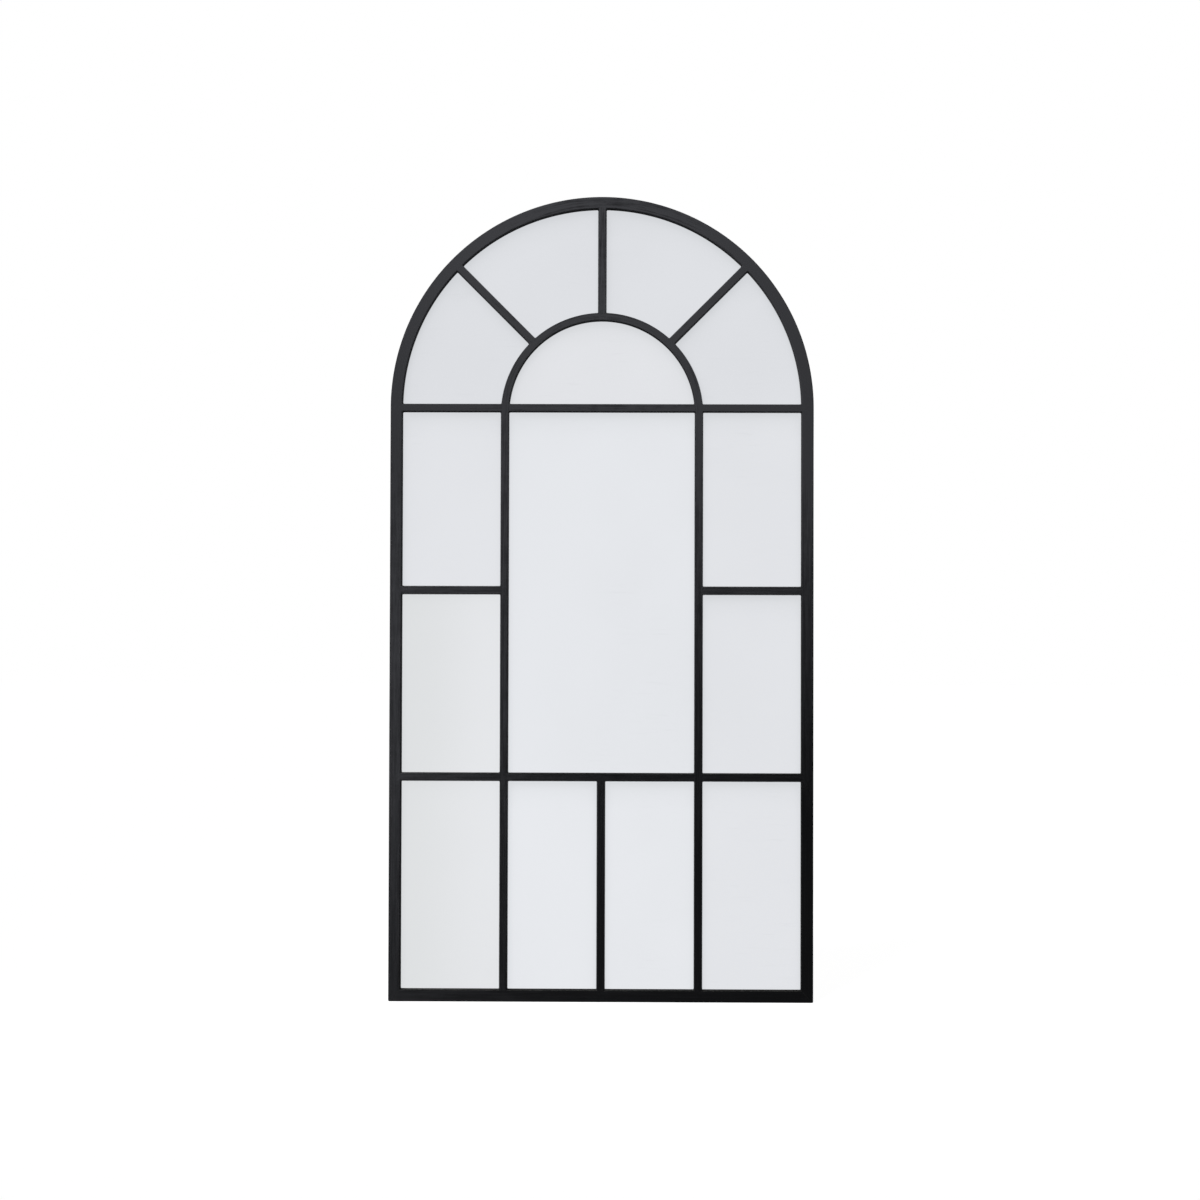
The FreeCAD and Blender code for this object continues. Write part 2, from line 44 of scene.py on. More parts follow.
# Frame and bars.
FACE = -0.0275  # front of the frame and of the bars
FOOT = -1.19  # bottom edge of the frame
SPRING = 0.07  # where the arch starts
OUTER = 0.45  # outside radius of the arch and half the width
TUBE = 0.025
TUBE_CORNER = 0.002
FOOT_CORNER = 0.003
BAR = 0.016
BAR_DEPTH = 0.010
BAR_CORNER = 0.0015
MULLION = 0.2065  # from the middle line
LUNETTE = 0.058  # centre of the inner arch
FAN = 0.064  # where the radial bars aim
FAN_ANGLES = {"right": 45, "top": 90, "left": 135}
SIDE_TRANSOM = -0.318
LOWER_TRANSOM = -0.7145
DAYLIGHT = OUTER - TUBE
RAIL_MIDDLE = OUTER - TUBE / 2  # of the stiles and the arch rail
SILL = FOOT + TUBE
FRAME_BACK = FACE + TUBE
BAR_HALF = BAR / 2
LUNETTE_OUTER = MULLION + BAR_HALF
LUNETTE_INNER = MULLION - BAR_HALF
DISH = 0.003  # depth of the tubes' hollow flats, as a share of the tube's width
UNEVEN = 0.00025  # how far a tube's surface strays inwards

# Welds.
WELD_LEG = 0.0014
RING_WELD_LEG = 0.0018  # at the arches
WELD_INSET = 0.0006  # behind the face
WELD_ROOT = 0.0004  # how far a bead runs into its corner
WELD_LAYERS = 9
WELD_ARC_STEPS = 6
WELD_SWELL_LIMIT = 1.15  # of the leg
FRONT_ROUNDING = 0.35  # of the leg, taken off over the front sixth
RIPPLE = 0.09  # of the leg
RIPPLE_TURN = 19  # radians of ripple in a bead's depth
RIPPLE_SHIFT = 90  # radians from bead to bead, for each metre across
WANDER = 0.16  # of the leg
WANDER_SCALE = 60
DRESSED_REACH = 0.03  # how far from a joint the paint is brushed
DRESSED_BEAD = 0.3  # how brushed the beads are

# Sealant round the panes and the board.
EDGE_GAP = 0.001
SEALANT_PRESS = 0.0001  # over the gap, towards the panes
SEALANT_LAP = 0.0004  # over the gap, into the frame's wall
SEALANT_FRONT = 0.0102  # behind the face
SEALANT_BACK = 0.0197

# Fastenings on the back.
SHEET = 0.0012
BOARD_BACK = FACE + 0.020
CLIP_WIDTH = 0.016
CLIP_HEEL = -0.0035  # from the middle of the tube, away from the glass
CLIP_WEB = 0.0133 + SHEET / 2  # from the middle of the tube to the step
CLIP_TOE = 0.0263  # from the middle of the tube to the end on the board
CLIP_BEND = 0.0013  # radius of the middle line
CLIP_END_ROUND = 0.003
CLIP_EDGE = 0.00025  # broken off each edge
CLIP_HEIGHTS = (-1.01, -0.63, -0.25)  # on each stile
CLIP_ANGLES = (22, 56, 90, 124, 158)  # on the arch rail
CLIP_OFFSETS = (-0.26, 0.0, 0.26)  # on the bottom rail
PLATE = 0.0025  # thickness of a hanger plate
PLATE_SCREW_HEIGHTS = (-0.016, 0.032)
SCREW_HEAD = 0.0037  # radius
SCREW_HEAD_HEIGHT = 0.0022
SCREW_TURN = 2.4  # from one screw's recess to the next one's, in radians
BUMPER = 0.006  # radius
BUMPER_HEIGHT = 0.005
BUMPER_FOOT = -1.13  # height of the lower pair
BUMPER_ANGLE = 40  # of the upper pair, above the spring line

ACROSS = Vector((1, 0, 0))
BACK = Vector((0, 1, 0))
UP = Vector((0, 0, 1))


def around(angle, radius, height):
    """Point on a circle in the frame's plane, its centre on the middle line at a height."""
    turn = math.radians(angle)
    return Vector((radius * math.cos(turn), 0, height + radius * math.sin(turn)))


# Camera, floor and light.

def set_camera():
    camera = bpy.data.objects.new("camera", bpy.data.cameras.new("camera"))
    camera.data.sensor_width = 36
    camera.data.lens = 53.58
    place = Matrix.Translation((0.0241, -3.8172, -0.3910))
    turn = Matrix.Rotation(0.0072, 4, "Z")
    lift = Matrix.Rotation(math.pi / 2 + 0.0138, 4, "X")
    roll = Matrix.Rotation(0.0027, 4, "Z")
    camera.matrix_world = place @ turn @ lift @ roll
    bpy.context.collection.objects.link(camera)
    bpy.context.scene.camera = camera


def lay_floor(material):
    half = 20
    mesh = bpy.data.meshes.new("floor")
    corners = [(-half, -half, FOOT), (half, -half, FOOT), (half, half, FOOT), (-half, half, FOOT)]
    mesh.from_pydata(corners, [], [(0, 1, 2, 3)])
    mesh.materials.append(material)
    floor = bpy.data.objects.new("floor", mesh)
    bpy.context.collection.objects.link(floor)


def soft_light(name, place, aim, size, power, spread):
    """Square lamp at a place, aimed at a point. A grid on it narrows its spread, in degrees. It doesn't show
    in the panes."""
    lamp = bpy.data.lights.new(name, "AREA")
    lamp.size = size
    lamp.energy = power
    lamp.spread = math.radians(spread)
    light = bpy.data.objects.new(name, lamp)
    light.location = place
    light.rotation_euler = (Vector(aim) - Vector(place)).to_track_quat("-Z", "Y").to_euler()
    light.visible_glossy = False
    bpy.context.collection.objects.link(light)


# Shader nodes.

def add(tree, kind, inputs=None, **settings):
    """New node. Each input is a value, or another node's output to link."""
    node = tree.nodes.new(kind)
    for name, value in settings.items():
        setattr(node, name, value)
    for key, value in (inputs or {}).items():
        if isinstance(value, bpy.types.NodeSocket):
            tree.links.new(value, node.inputs[key])
        else:
            node.inputs[key].default_value = value
    return node


def calc(tree, operation, first, second=0.0, clamp=False):
    node = add(tree, "ShaderNodeMath", {0: first, 1: second}, operation=operation, use_clamp=clamp)
    return node.outputs[0]


def product(tree, first, second):
    return calc(tree, "MULTIPLY", first, second)


def weighted_sum(tree, start, *parts):
    """Start plus each part times its weight."""
    total = start
    for part, weight in parts:
        inputs = {0: part, 1: weight, 2: total}
        total = add(tree, "ShaderNodeMath", inputs, operation="MULTIPLY_ADD").outputs[0]
    return total


def ramp(tree, value, low, high, to_low=0.0, to_high=1.0):
    """Value's run from low to high, eased, onto to_low to to_high."""
    inputs = {"Value": value, "From Min": low, "From Max": high, "To Min": to_low, "To Max": to_high}
    return add(tree, "ShaderNodeMapRange", inputs, interpolation_type="SMOOTHSTEP").outputs["Result"]


def blend(tree, share, first, second):
    """Mix of two values by a share of the second."""
    return add(tree, "ShaderNodeMix", {"Factor": share, "A": first, "B": second}).outputs["Result"]


def blend_colour(tree, share, first, second):
    """Mix of two colours by a share of the second."""
    inputs = {"Factor": share, "A": first, "B": second}
    return add(tree, "ShaderNodeMix", inputs, data_type="RGBA").outputs["Result"]


def cloud(tree, position, scale, detail=3.0, roughness=0.55):
    inputs = {"Vector": position, "Scale": scale, "Detail": detail, "Roughness": roughness}
    return add(tree, "ShaderNodeTexNoise", inputs).outputs["Fac"]


def sized_cloud(tree, position, size, detail, roughness=0.55):
    """Cloud whose largest lumps have a given size."""
    return cloud(tree, position, calc(tree, "DIVIDE", 1.0, size), detail, roughness)


def axes(tree, vector):
    """A vector's X, Y and Z."""
    return add(tree, "ShaderNodeSeparateXYZ", {"Vector": vector}).outputs


def surface_normal(tree):
    return add(tree, "ShaderNodeNewGeometry").outputs["Normal"]


def openness(tree, reach, towards=None, samples=16):
    """1 where nothing stands within reach of the surface, and less in a nook. It looks along the surface's
    normal, or towards another direction."""
    inputs = {"Distance": reach}
    if towards:
        x, y, z = towards
        inputs["Normal"] = add(tree, "ShaderNodeCombineXYZ", {"X": x, "Y": y, "Z": z}).outputs["Vector"]
    return add(tree, "ShaderNodeAmbientOcclusion", inputs, samples=samples).outputs["AO"]


def bumped(tree, height, strength, distance):
    """Normal of a surface with a relief."""
    inputs = {"Height": height, "Strength": strength, "Distance": distance}
    return add(tree, "ShaderNodeBump", inputs).outputs["Normal"]


# Effects that several materials share.

def new_group(name, output, inputs):
    """Node group with a position, the given inputs and one output, and the sockets on its inside."""
    group = bpy.data.node_groups.new(name, "ShaderNodeTree")
    group.interface.new_socket("Position", in_out="INPUT", socket_type="NodeSocketVector")
    for label, value in inputs.items():
        kind = "NodeSocketVector" if isinstance(value, tuple) else "NodeSocketFloat"
        group.interface.new_socket(label, in_out="INPUT", socket_type=kind).default_value = value
    group.interface.new_socket(output, in_out="OUTPUT", socket_type="NodeSocketFloat")
    given = group.nodes.new("NodeGroupInput").outputs
    result = group.nodes.new("NodeGroupOutput").inputs
    return group, given, result


def place_group(tree, group, position, **values):
    """A group's result at a position. A value named patch_size goes to its input Patch Size."""
    inputs = {name.replace("_", " ").title(): value for name, value in values.items()}
    inputs["Position"] = position
    return add(tree, "ShaderNodeGroup", inputs, node_tree=group).outputs[0]


def patches_group():
    """Slow drifts of tone over the object with a finer mottle in them."""
    inputs = {"Patch Size": 0.3, "Mottle Size": 0.03, "Mottle Share": 0.3}
    group, given, result = new_group("patches", "Tone", inputs)
    wide = ramp(group, sized_cloud(group, given["Position"], given["Patch Size"], 2.0), 0.3, 0.7)
    fine = ramp(group, sized_cloud(group, given["Position"], given["Mottle Size"], 5.0), 0.3, 0.7)
    group.links.new(blend(group, given["Mottle Share"], wide, fine), result["Tone"])
    return group


def grain_group():
    """Small height of a surface: a fine pebble with a slower swell under it."""
    inputs = {"Grain Size": 0.001, "Swell Size": 0.02, "Swell Share": 0.5}
    group, given, result = new_group("grain", "Height", inputs)
    pebble = sized_cloud(group, given["Position"], given["Grain Size"], 2.0)
    swell = sized_cloud(group, given["Position"], given["Swell Size"], 1.0)
    group.links.new(blend(group, given["Swell Share"], pebble, swell), result["Height"])
    return group


def edge_rub_group():
    """Mask of the rubbed outer edges, broken up by a noise."""
    group, given, result = new_group("edge_rub", "Mask", {"Width": 0.001, "Break Size": 0.01})
    rounded = add(group, "ShaderNodeBevel", {"Radius": given["Width"]}, samples=6).outputs["Normal"]
    inputs = {0: rounded, 1: surface_normal(group)}
    facing = add(group, "ShaderNodeVectorMath", inputs, operation="DOT_PRODUCT").outputs["Value"]
    broken = sized_cloud(group, given["Position"], given["Break Size"], 4.0)
    mask = product(group, ramp(group, facing, 0.98, 0.75), ramp(group, broken, 0.42, 0.62))
    group.links.new(mask, result["Mask"])
    return group


def settled_dust_group():
    """Mask of dust on what faces up, and a little in the corners."""
    group, given, result = new_group("settled_dust", "Mask", {"Corner Reach": 0.006})
    shelf = ramp(group, axes(group, surface_normal(group))["Z"], 0.4, 0.95)
    nook = ramp(group, openness(group, given["Corner Reach"], samples=8), 0.85, 0.35, 0.0, 0.5)
    speck = ramp(group, cloud(group, given["Position"], 300.0, 6.0), 0.35, 0.7)
    mask = product(group, calc(group, "ADD", shelf, nook, clamp=True), speck)
    group.links.new(mask, result["Mask"])
    return group


def scratches_group():
    """Fine straight lines left by a brush or a grinding disc. Stretch says how long they are each way."""
    group, given, result = new_group("scratches", "Height", {"Stretch": (1, 1, 20), "Line Size": 0.001})
    inputs = {0: given["Position"], 1: given["Stretch"]}
    squeezed = add(group, "ShaderNodeVectorMath", inputs, operation="DIVIDE").outputs["Vector"]
    group.links.new(sized_cloud(group, squeezed, given["Line Size"], 4.0, 0.7), result["Height"])
    return group


PATCHES = patches_group()
GRAIN = grain_group()
EDGE_RUB = edge_rub_group()
SETTLED_DUST = settled_dust_group()
SCRATCHES = scratches_group()


# Materials.

def new_material(name):
    """Material with its tree, shader and the position in the object's own frame."""
    material = bpy.data.materials.new(name)
    material.use_nodes = True
    tree = material.node_tree
    shader = tree.nodes["Principled BSDF"]
    position = add(tree, "ShaderNodeTexCoord").outputs["Object"]
    return material, tree, shader, position


def coat(tree, shader, colour, roughness, normal=None):
    """Gives the shader its colour, its roughness and, where there is one, its relief."""
    tree.links.new(colour, shader.inputs["Base Color"])
    tree.links.new(roughness, shader.inputs["Roughness"])
    if normal:
        tree.links.new(normal, shader.inputs["Normal"])


def paint_tone(tree, position, dressed):
    """Tone of the paint, mostly painted light: brightest at the top left, on the outer frame and along the
    middle of each face, patchy and streaked along each tube, with brushed specks round the welds."""
    place = axes(tree, position)
    lay = add(tree, "ShaderNodeAttribute", attribute_name="lay").outputs["Vector"]
    # 0 at the foot, and 1 from about the spring line up.
    upper = calc(tree, "DIVIDE", calc(tree, "ADD", place["Z"], 1.2), 1.26, clamp=True)
    lean = product(tree, place["X"], calc(tree, "SUBTRACT", upper, 1.0))
    # Painted light: brighter towards the top, and towards the left below the spring line.
    painted_light_gradient = calc(tree, "ADD", calc(tree, "POWER", upper, 2.2), product(tree, lean, 0.25), clamp=True)
    patch = place_group(tree, PATCHES, position, patch_size=0.3, mottle_size=0.02, mottle_share=0.5)
    streak = place_group(tree, SCRATCHES, lay, stretch=(1, 30, 1), line_size=0.004)
    streak = ramp(tree, streak, 0.32, 0.68)
    # Painted highlight: lighter along the middle of each face than at its edges.
    painted_face_highlight = ramp(tree, calc(tree, "ABSOLUTE", axes(tree, lay)["X"]), 0.001, 0.012, 1.0, 0.0)
    outer = ramp(tree, calc(tree, "ABSOLUTE", place["X"]), 0.05, 0.41)
    uneven = weighted_sum(tree, 0.22, (patch, 0.58), (streak, 0.76), (painted_face_highlight, 0.10), (outer, 0.55))
    speck = product(tree, dressed, ramp(tree, cloud(tree, position, 250.0), 0.44, 0.62))
    brushed = product(tree, speck, weighted_sum(tree, 0.08, (painted_light_gradient, 0.16)))
    # The painted light, made patchy by the drifts, streaks, face highlight and outer frame above.
    painted_light = product(tree, painted_light_gradient, uneven)
    return weighted_sum(tree, -0.05, (streak, 0.10), (brushed, 1.0), (painted_light, 0.95))


def black_paint():
    """Satin black paint on drawn steel with painted light in its colour, brushed where the welds were
    dressed and rubbed at the edges.
    """
    material, tree, shader, position = new_material("black_paint")
    dressed = add(tree, "ShaderNodeAttribute", attribute_name="dressed").outputs["Fac"]
    tone = paint_tone(tree, position, dressed)
    # The lighter colour is mostly painted light, placed by the tone; the darker one is the paint's own.
    colour = blend_colour(tree, tone, (0.0034, 0.0035, 0.0039, 1), (0.0371, 0.0377, 0.0415, 1))
    rub = place_group(tree, EDGE_RUB, position, width=0.0012, break_size=0.012)
    rub = product(tree, rub, weighted_sum(tree, 0.35, (dressed, -0.3)))
    colour = blend_colour(tree, rub, colour, (0.085, 0.082, 0.078, 1))
    dust = place_group(tree, SETTLED_DUST, position, corner_reach=0.005)
    colour = blend_colour(tree, product(tree, dust, 0.12), colour, (0.30, 0.29, 0.27, 1))
    rough = calc(tree, "ADD", ramp(tree, tone, 0.0, 1.0, 0.60, 0.72), product(tree, dust, 0.3))
    pebble = place_group(tree, GRAIN, position, grain_size=0.0012, swell_size=0.03, swell_share=0.35)
    lines = place_group(tree, SCRATCHES, position, stretch=(9, 1, 1), line_size=0.0006)
    relief = blend(tree, product(tree, dressed, 0.6), pebble, lines)
    coat(tree, shader, colour, rough, bumped(tree, relief, 0.35, 0.0006))
    shader.inputs["Specular IOR Level"].default_value = 0.04
    return material


def mirror_glass(name, tint, left_tint=None, aside=0.0, shade=0.2):
    """Silvered glass, a touch hazy. Painted shade dulls it below the bars that stand over it, and beside
    those on its left by as much as aside says. A painted shade line runs round it where it goes under them.
    With a left tint it turns to that colour towards the left stile."""
    material, tree, shader, position = new_material(name)
    tone = place_group(tree, PATCHES, position, patch_size=0.55, mottle_size=0.12, mottle_share=0.2)
    colour = tint + (1,)
    if left_tint:
        towards_stile = ramp(tree, axes(tree, position)["X"], -0.23, -0.42)
        colour = blend_colour(tree, towards_stile, tint + (1,), left_tint + (1,))
    drift = ramp(tree, tone, 0.0, 1.0, 0.03, 0.0)
    colour = blend_colour(tree, drift, colour, (0.2, 0.2, 0.2, 1))
    # Painted shade below the bars, and beside those on the left.
    under_bar = openness(tree, 0.06, towards=(-aside, -0.6, 0.77))
    border_shade = ramp(tree, under_bar, 0.35, 0.8, shade, 0.0)
    colour = blend_colour(tree, border_shade, colour, (0.34, 0.37, 0.37, 1))
    wiped = place_group(tree, SCRATCHES, position, stretch=(14, 1, 1), line_size=0.006)
    wiped = product(tree, ramp(tree, wiped, 0.56, 0.72), ramp(tree, tone, 0.6, 0.3, 0.0, 0.05))
    colour = blend_colour(tree, wiped, colour, (0.40, 0.41, 0.42, 1))
    # Painted shade: a nearly black line round the pane where it goes under the bars, widest below them.
    seam_shade = ramp(tree, openness(tree, 0.0028, towards=(0, -0.97, 0.24)), 0.70, 0.90, 0.95, 0.0)
    colour = blend_colour(tree, seam_shade, colour, (0.015, 0.015, 0.017, 1))
    coat(tree, shader, colour, ramp(tree, tone, 0.0, 1.0, 0.02, 0.04))
    shader.inputs["Metallic"].default_value = 0.985
    return material


def pressed_board():
    """Brown hardboard: short matted fibres, darker flecks, a dusty margin."""
    material, tree, shader, position = new_material("pressed_board")
    tone = place_group(tree, PATCHES, position, patch_size=0.4, mottle_size=0.006, mottle_share=0.5)
    along = place_group(tree, SCRATCHES, position, stretch=(7, 1, 1), line_size=0.0015)
    down = place_group(tree, SCRATCHES, position, stretch=(1, 1, 7), line_size=0.0015)
    fibre = calc(tree, "MAXIMUM", along, down)
    colour = blend_colour(tree, tone, (0.290, 0.172, 0.095, 1), (0.450, 0.290, 0.170, 1))
    pale = ramp(tree, fibre, 0.55, 0.75, 0.0, 0.55)
    colour = blend_colour(tree, pale, colour, (0.58, 0.41, 0.26, 1))
    fleck = ramp(tree, cloud(tree, position, 420.0, 2.0), 0.64, 0.74)
    colour = blend_colour(tree, product(tree, fleck, 0.6), colour, (0.10, 0.055, 0.03, 1))
    dust = place_group(tree, SETTLED_DUST, position, corner_reach=0.02)
    colour = blend_colour(tree, product(tree, dust, 0.3), colour, (0.45, 0.42, 0.38, 1))
    rough = ramp(tree, fibre, 0.3, 0.7, 0.62, 0.8)
    coat(tree, shader, colour, rough, bumped(tree, fibre, 0.4, 0.0005))
    return material


def zinc():
    """Zinc plating with faint rolling lines and a cloudy bloom, with painted shade in its nooks."""
    material, tree, shader, position = new_material("zinc")
    tone = place_group(tree, PATCHES, position, patch_size=0.02, mottle_size=0.003, mottle_share=0.4)
    colour = blend_colour(tree, tone, (0.27, 0.28, 0.30, 1), (0.44, 0.45, 0.45, 1))
    rub = place_group(tree, EDGE_RUB, position, width=0.0006, break_size=0.004)
    colour = blend_colour(tree, product(tree, rub, 0.5), colour, (0.66, 0.66, 0.65, 1))
    dust = place_group(tree, SETTLED_DUST, position, corner_reach=0.003)
    colour = blend_colour(tree, product(tree, dust, 0.4), colour, (0.33, 0.32, 0.30, 1))
    # Painted shade: nearly black in the nooks.
    nook = ramp(tree, openness(tree, 0.004), 0.95, 0.45, 0.0, 0.85)
    colour = blend_colour(tree, nook, colour, (0.035, 0.034, 0.032, 1))
    lines = place_group(tree, SCRATCHES, position, stretch=(1, 1, 14), line_size=0.0004)
    rough = ramp(tree, tone, 0.0, 1.0, 0.44, 0.28)
    coat(tree, shader, colour, rough, bumped(tree, lines, 0.25, 0.0002))
    shader.inputs["Metallic"].default_value = 1.0
    return material


def matt_rubber():
    """Black rubber of the bumpers and the sealant, finely pebbled."""
    material, tree, shader, position = new_material("bumper_rubber")
    tone = place_group(tree, PATCHES, position, patch_size=0.01, mottle_size=0.001, mottle_share=0.4)
    colour = blend_colour(tree, tone, (0.020, 0.020, 0.021, 1), (0.045, 0.044, 0.043, 1))
    dust = place_group(tree, SETTLED_DUST, position, corner_reach=0.002)
    colour = blend_colour(tree, product(tree, dust, 0.3), colour, (0.25, 0.24, 0.23, 1))
    pebble = place_group(tree, GRAIN, position, grain_size=0.0004, swell_size=0.003, swell_share=0.3)
    rough = ramp(tree, tone, 0.0, 1.0, 0.70, 0.85)
    coat(tree, shader, colour, rough, bumped(tree, pebble, 0.5, 0.0002))
    return material


def seen_rays(tree):
    """Masks of the camera's own rays, and of those that a gloss or a glass sends."""
    path = add(tree, "ShaderNodeLightPath").outputs
    return path["Is Camera Ray"], calc(tree, "MAXIMUM", path["Is Glossy Ray"], path["Is Transmission Ray"])


def floor_white():
    """Pale floor that shows as white, keeps a faint shadow, and is even in the mirror."""
    material, tree, shader, position = new_material("floor_white")
    direct, mirrored = seen_rays(tree)
    speck = cloud(tree, position, 40.0)
    colour = blend_colour(tree, speck, (0.28, 0.28, 0.28, 1), (0.30, 0.30, 0.30, 1))
    colour = blend_colour(tree, mirrored, colour, (0, 0, 0, 1))
    tree.links.new(colour, shader.inputs["Base Color"])
    glow = calc(tree, "ADD", product(tree, direct, 0.93), mirrored)
    tree.links.new(glow, shader.inputs["Emission Strength"])
    shader.inputs["Emission Color"].default_value = (1, 1, 1, 1)
    shader.inputs["Roughness"].default_value = 0.9
    shader.inputs["Specular IOR Level"].default_value = 0.0
    return material


def set_world():
    """White all round where it is seen, and a quarter as bright where it only lights the object."""
    world = bpy.data.worlds.new("studio")
    world.use_nodes = True
    tree = world.node_tree
    direct, mirrored = seen_rays(tree)
    strength = ramp(tree, calc(tree, "ADD", direct, mirrored), 0.0, 1.0, 0.25, 1.0)
    background = tree.nodes["Background"]
    background.inputs["Color"].default_value = (1, 1, 1, 1)
    tree.links.new(strength, background.inputs["Strength"])
    bpy.context.scene.world = world


# Meshes.

def finished_mesh(name, bm):
    """Mesh from a bmesh, with its faces turned outwards."""
    bmesh.ops.recalc_face_normals(bm, faces=bm.faces)
    mesh = bpy.data.meshes.new(name)
    bm.to_mesh(mesh)
    bm.free()
    return mesh


def new_piece(name, bm, material, slot, *nodes):
    """Piece from a finished bmesh, standing for the named nodes if there are any."""
    mesh = finished_mesh(name, bm)
    mesh.materials.append(material)
    piece = bpy.data.objects.new(name, mesh)
    bpy.context.collection.objects.link(piece)
    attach(piece, "root")
    if nodes:
        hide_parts(*nodes)
    return piece


def skin(bm, rings, closed=False):
    """Smooth skin through rings of equal length. It ends flat and sharp-edged, or is closed to a loop."""
    loops = [[bm.verts.new(point) for point in ring] for ring in rings]
    following = loops[1:] + loops[:1] if closed else loops[1:]
    for near, far in zip(loops, following):
        for index in range(len(near)):
            after = (index + 1) % len(near)
            bm.faces.new((near[index], near[after], far[after], far[index])).smooth = True
    if closed:
        return
    for loop in (loops[0], loops[-1]):
        cap = bm.faces.new(loop)
        for edge in cap.edges:
            edge.smooth = False


# Tubes.

def rounded_outline(width, depth, corner):
    """Tube section as (share of the width, depth behind the face), with rounded corners and slightly
    hollow flats, as drawn tube has."""
    steps = 5
    half = width / 2
    dish = width * DISH
    shoulder = corner * 1.5
    # The flats on the right, at the back, on the left and in front. Each follows the corner before it.
    flats = (
        ((half, shoulder), (half - dish, depth / 2), (half, depth - shoulder)),
        ((half - shoulder, depth), (0, depth - dish), (shoulder - half, depth)),
        ((-half, depth - shoulder), (dish - half, depth / 2), (-half, shoulder)),
        ((shoulder - half, 0), (0, dish), (half - shoulder, 0)),
    )
    points = []
    for quarter, flat in enumerate(flats):
        centre_u = (half - corner) if quarter in (0, 1) else (corner - half)
        centre_v = (depth - corner) if quarter in (1, 2) else corner
        for step in range(steps + 1):
            turn = math.radians(90 * (quarter - 1) + 90 * step / steps)
            points.append((centre_u + corner * math.cos(turn), centre_v + corner * math.sin(turn)))
        points += flat
    return [(u / width + 0.5, v) for u, v in points]


FRAME_OUTLINE = rounded_outline(TUBE, TUBE, TUBE_CORNER)
BAR_OUTLINE = rounded_outline(BAR, BAR_DEPTH, BAR_CORNER)


def joint_points():
    """Middles of the welded joints, in the plane of the frame."""
    points = [around(angle, DAYLIGHT, SPRING) for angle in (0, 45, 90, 135, 180)]
    points += [around(angle, LUNETTE_OUTER, LUNETTE) for angle in (0, 45, 90, 135, 180)]
    for side in (-1, 1):
        points.append(Vector((side * OUTER, 0, FOOT)))
        points.append(Vector((side * MULLION, 0, SILL)))
        for height in (SIDE_TRANSOM, LOWER_TRANSOM):
            points.append(Vector((side * DAYLIGHT, 0, height)))
            points.append(Vector((side * MULLION, 0, height)))
    points += [Vector((0, 0, SILL)), Vector((0, 0, LOWER_TRANSOM))]
    return points


JOINTS = joint_points()


def dressed_share(point):
    """1 at a joint, down to 0 where the brushing ends."""
    spot = Vector((point.x, 0, point.z))
    nearest = min((spot - joint).length for joint in JOINTS)
    return max(0.0, 1 - nearest / DRESSED_REACH)


def station_ring(inner, outer, outline):
    """Ring of a tube's outline between an inner and an outer point, its surface a little uneven."""
    middle = (inner + outer) / 2
    centre = Vector((middle.x, FACE + BAR_HALF, middle.z))
    ring = []
    for share, depth in outline:
        point = inner + (outer - inner) * share
        point.y = FACE + depth
        sway = noise.noise(point * 9) * 0.5 + 0.5
        ring.append(point + (centre - point).normalized() * (UNEVEN * sway))
    return ring


def tube_piece(name, material, outline, stations):
    """Painted tube through stations, each an inner and an outer point of the face's outline. Its lay holds
    the place across, along and behind the face. Each tube's length starts at its own value, so that the
    streaks differ."""
    rings = []
    lays = []
    before = stations[0][0]
    along = before.x * 7
    for inner, outer in stations:
        middle = (inner + outer) / 2
        along += (middle - before).length
        before = middle
        rings.append(station_ring(inner, outer, outline))
        width = (outer - inner).length
        lays += [Vector(((share - 0.5) * width, along, depth)) for share, depth in outline]
    bm = bmesh.new()
    dressed = bm.verts.layers.float.new("dressed")
    lay = bm.verts.layers.float_vector.new("lay")
    skin(bm, rings)
    for vert, spread in zip(bm.verts, lays):
        vert[dressed] = dressed_share(vert.co)
        vert[lay] = spread
    return new_piece(name + "_tube", bm, material, "black_paint", name)


def run_stations(start, end, half, step=0.02):
    """Stations of a straight tube from one middle point to another."""
    count = max(2, math.ceil((end - start).length / step))
    aside = (end - start).normalized().cross(BACK) * half
    middles = [start.lerp(end, index / count) for index in range(count + 1)]
    return [(middle - aside, middle + aside) for middle in middles]


def ring_stations(inner, outer, height, steps):
    """Stations of a half ring from the right end to the left."""
    turns = [180 * index / steps for index in range(steps + 1)]
    return [(around(turn, inner, height), around(turn, outer, height)) for turn in turns]


def foot_stations(side, from_turn, to_turn):
    """Stations round half of a bottom corner: the outside follows its small radius."""
    steps = 4
    inner = Vector((side * DAYLIGHT, 0, SILL))
    centre = Vector((side * (OUTER - FOOT_CORNER), 0, FOOT + FOOT_CORNER))
    stations = []
    for index in range(steps + 1):
        turn = math.radians(from_turn + (to_turn - from_turn) * index / steps)
        outer = centre + Vector((side * math.cos(turn), 0, -math.sin(turn))) * FOOT_CORNER
        stations.append((inner, outer))
    return stations


def stile_stations(side):
    """Stations of a stile, from its mitre up to the spring line."""
    steps = 60
    corner_top = FOOT + FOOT_CORNER
    stations = foot_stations(side, 45, 0)[:-1]
    for index in range(steps + 1):
        inner = Vector((side * DAYLIGHT, 0, SILL + (SPRING - SILL) * index / steps))
        outer = Vector((side * OUTER, 0, corner_top + (SPRING - corner_top) * index / steps))
        stations.append((inner, outer))
    return stations


def bottom_rail_stations():
    """Stations of the bottom rail, from its left mitre to its right one."""
    steps = 44
    stations = foot_stations(-1, 45, 90)
    for index in range(1, steps):
        share = 2 * index / steps - 1
        inner = Vector((share * DAYLIGHT, 0, SILL))
        outer = Vector((share * (OUTER - FOOT_CORNER), 0, FOOT))
        stations.append((inner, outer))
    return stations + foot_stations(1, 90, 45)


